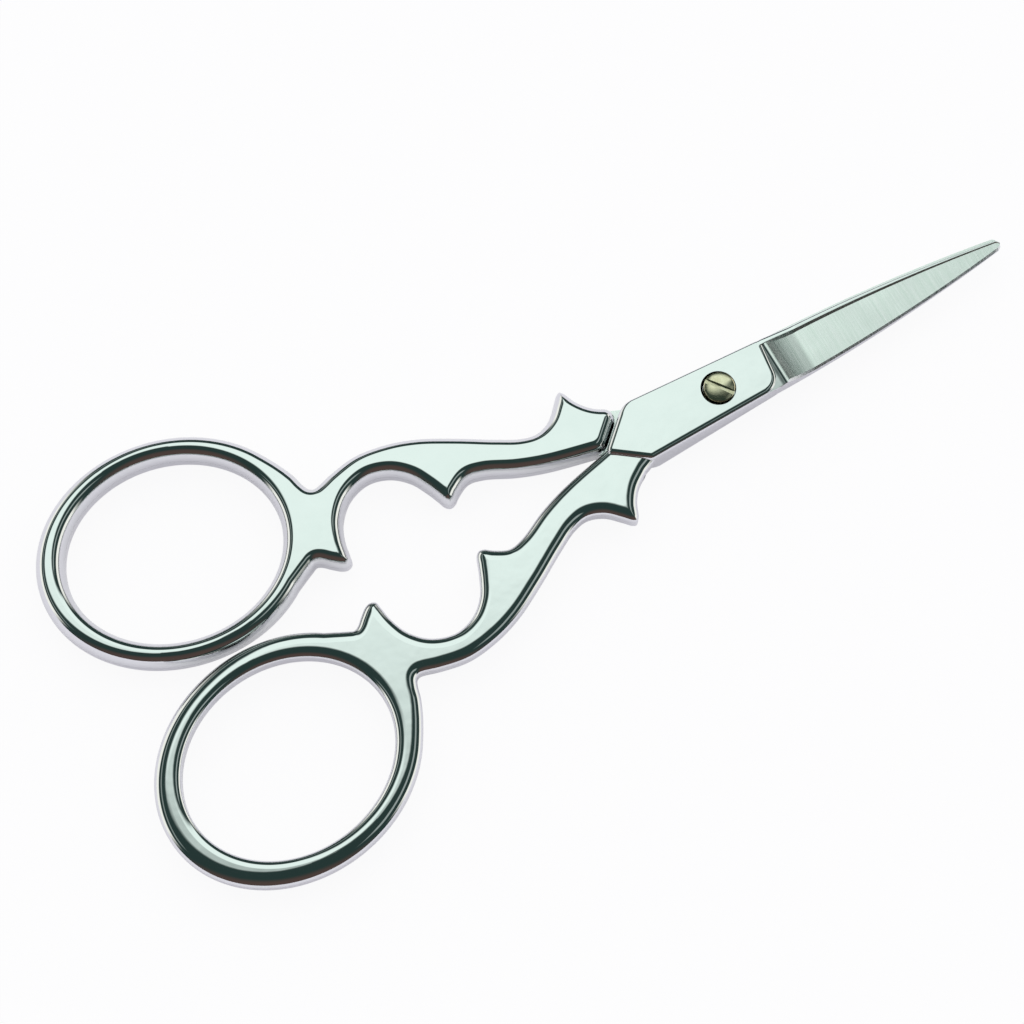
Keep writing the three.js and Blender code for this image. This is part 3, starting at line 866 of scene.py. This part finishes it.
def slotted_screw():
    """The screw, turned and then slotted."""
    radius = head_diameter / 2
    shank = screw_diameter / 2
    dome_foot = under_head + head_rim
    crest = dome_foot + head_dome
    quarter = np.linspace(0, math.pi / 2, dome_rows + 1)[:-1]
    profile = [(0, screw_tail), (shank - tail_chamfer, screw_tail), (shank, screw_tail + tail_chamfer)]
    profile += [(shank, under_head), (radius - rim_rounding, under_head), (radius, under_head + rim_rounding)]
    profile += [(radius * math.cos(a), dome_foot + head_dome * math.sin(a)) for a in quarter]
    profile.append((0, crest))
    screw = lathe("slotted_pivot_screw", profile)
    half = slot_width / 2
    floor = crest - slot_depth
    section = [(-half, floor), (half, floor), (half, 2 * crest), (-half, 2 * crest)]
    along = np.array([math.cos(slot_angle), math.sin(slot_angle)])
    saw = saw_bar("saw_cut", section, along, head_diameter)
    cut = screw.modifiers.new("slot", "BOOLEAN")
    cut.object = saw
    cut.operation = "DIFFERENCE"
    cut.solver = "EXACT"
    graph = bpy.context.evaluated_depsgraph_get()
    screw.data = bpy.data.meshes.new_from_object(screw.evaluated_get(graph))
    screw.modifiers.clear()
    bpy.data.objects.remove(saw)
    screw.data.materials.clear()
    screw.data.materials.append(turned_nickel())
    return screw


screw = slotted_screw()
soft_shading(screw, screw_keenness)
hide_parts("pivot_screw")
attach(screw, "screwed_half")

# The table
# Matt white laminate, flat and far wider than the view. It is white to the camera but for the object's
# soft shadow, so that the closed pair lies on a plain pale ground.
floor_reach = 20.0  # metres
floor_glow = 0.92  # share of plain white that the camera sees
mirrored_glow = 0.3  # and that the metal mirrors


def pale_table():
    """Matt white laminate, pressed with a faint fleck that hardly shows. The metal mirrors it with more of
    the object's shadow, so the polished walls stand out from the white around them."""
    material, tree, place = new_material("matt_white_table")
    fleck_width = 25.0
    fleck = add(tree, "ShaderNodeTexNoise", {
        "Vector": place, "Scale": 1 / (fleck_width * MM), "Detail": 3.0,
    })
    tone = add(tree, "ShaderNodeMix", {
        "Factor": fleck[0], 6: colour("#eae8ef"), 7: colour("#f0eff4"),
    }, data_type="RGBA")[2]
    matt = add(tree, "ShaderNodeBsdfDiffuse", {"Color": tone})[0]
    glow = add(tree, "ShaderNodeEmission", {"Color": colour("#ffffff"), "Strength": 1.0})[0]
    rays = add(tree, "ShaderNodeLightPath")
    share = add(tree, "ShaderNodeMath", {0: rays["Is Camera Ray"], 1: floor_glow}, operation="MULTIPLY")[0]
    for kind in ("Is Glossy Ray", "Is Transmission Ray"):
        share = add(tree, "ShaderNodeMath", {
            0: rays[kind], 1: mirrored_glow, 2: share,
        }, operation="MULTIPLY_ADD")[0]
    surface = add(tree, "ShaderNodeMixShader", {0: share, 1: matt, 2: glow})[0]
    add(tree, "ShaderNodeOutputMaterial", {"Surface": surface})
    return material


corners = [(x * floor_reach, y * floor_reach, 0.0) for x, y in ((-1, -1), (1, -1), (1, 1), (-1, 1))]
table = bpy.data.objects.new("table", bpy.data.meshes.new("table"))
table.data.from_pydata(corners, [], [(0, 1, 2, 3)])
table.data.materials.append(pale_table())
bpy.context.scene.collection.objects.link(table)

# The room
# A large soft light hangs on the far side of the object, and the room is dark behind the camera, so that
# polished metal shows bright flats and dark lines along its near edges.
view_turn = math.radians(29.365)  # the camera looks this far round from +Y towards +X
dark_wall = (0.024, 0.046, 0.042)
brown_wall = (0.085, 0.058, 0.05)
right_wall = (0.34, 0.4, 0.38)
left_wall = (0.26, 0.31, 0.29)
daylight = (1.05, 1.06, 0.98)
mint_light = (0.95, 1.1, 1.03)
near_dome = (0.34, 0.3, 0.44)
far_dome = (1.55, 1.57, 1.52)


def studio_room():
    """The room by direction, as light levels: a mint-white light overhead on the far side, dark walls with a
    dim strip on each side, pale openings low down at both sides, and brown behind the camera.
    Matt surfaces are lit by a plain dome, brighter on the far side."""
    least_height = 0.02  # keeps the slopes finite at the horizon
    world = bpy.data.worlds.new("studio")
    world.use_nodes = True
    tree = world.node_tree
    tree.nodes.clear()
    direction = add(tree, "ShaderNodeTexCoord")["Generated"]
    turned = add(tree, "ShaderNodeMapping", {
        "Vector": direction, "Rotation": (0, 0, view_turn),
    }, vector_type="VECTOR")[0]
    part = add(tree, "ShaderNodeSeparateXYZ", {0: turned})
    # Slopes from straight up, to the camera's right and away from the camera
    height = add(tree, "ShaderNodeMath", {0: part["Z"], 1: least_height}, operation="MAXIMUM")[0]
    aside = add(tree, "ShaderNodeMath", {0: part["X"], 1: height}, operation="DIVIDE")[0]
    away = add(tree, "ShaderNodeMath", {0: part["Y"], 1: height}, operation="DIVIDE")[0]
    sideways = add(tree, "ShaderNodeMath", {0: part["X"]}, operation="ABSOLUTE")[0]
    slant = add(tree, "ShaderNodeMath", {0: aside, 1: away}, operation="SUBTRACT")[0]

    def within(*limits):
        """How far a direction lies inside soft limits, each a value and where it starts and is full."""
        product = 1.0
        for value, start, full in limits:
            share = add(tree, "ShaderNodeMapRange", {
                "Value": value, "From Min": start, "From Max": full,
            }, interpolation_type="SMOOTHSTEP")[0]
            product = add(tree, "ShaderNodeMath", {0: product, 1: share}, operation="MULTIPLY")[0]
        return product

    behind_camera = within((part["Y"], -0.5, -0.9))
    right_strip = within((aside, 0.5, 0.56), (aside, 0.84, 0.78), (away, -0.6, -0.4), (away, 0.55, 0.45))
    left_strip = within((aside, -0.9, -0.98), (aside, -1.25, -1.15), (away, -0.6, -0.4))
    openings = within((part["Z"], 0.44, 0.36), (sideways, 0.5, 0.75), (part["Y"], -0.5, -0.25))
    overhead = within((away, 0.04, 0.32), (away, 1.3, 1.05), (slant, -0.02, -0.3), (aside, -0.5, -0.3))
    areas = [
        (behind_camera, brown_wall),
        (right_strip, right_wall),
        (left_strip, left_wall),
        (openings, daylight),
        (overhead, mint_light),
    ]
    seen = (*dark_wall, 1.0)
    for share, tone in areas:
        seen = add(tree, "ShaderNodeMix", {"Factor": share, 6: seen, 7: (*tone, 1.0)}, data_type="RGBA")[2]

    far_side = within((part["Y"], -0.6, 0.6))
    dome = add(tree, "ShaderNodeMix", {
        "Factor": far_side, 6: (*near_dome, 1.0), 7: (*far_dome, 1.0),
    }, data_type="RGBA")[2]
    rays = add(tree, "ShaderNodeLightPath")
    shown = rays["Is Camera Ray"]
    for kind in ("Is Glossy Ray", "Is Transmission Ray"):
        shown = add(tree, "ShaderNodeMath", {0: shown, 1: rays[kind]}, operation="MAXIMUM")[0]
    light = add(tree, "ShaderNodeMix", {"Factor": shown, 6: dome, 7: seen}, data_type="RGBA")[2]
    surround = add(tree, "ShaderNodeBackground", {"Color": light, "Strength": 1.0})[0]
    add(tree, "ShaderNodeOutputWorld", {"Surface": surround})
    return world


scene = bpy.context.scene
scene.world = studio_room()
scene.view_settings.view_transform = "Standard"

# The camera
# It looks down steeply on the closed pair from the near side, turned so that the blades point up to the
# right, through a long lens.
camera_place = Vector((-49.58, -77.68, 288.84)) * MM
camera_aim = Vector((-6.251, -0.668, 2.15)) * MM
lens = 105.5
nearest_view = 0.01  # metres

camera = bpy.data.objects.new("camera", bpy.data.cameras.new("camera"))
camera.data.lens = lens
camera.data.clip_start = nearest_view
camera.location = camera_place
camera.rotation_euler = (camera_aim - camera_place).to_track_quat("-Z", "Y").to_euler()
scene.collection.objects.link(camera)
scene.camera = camera
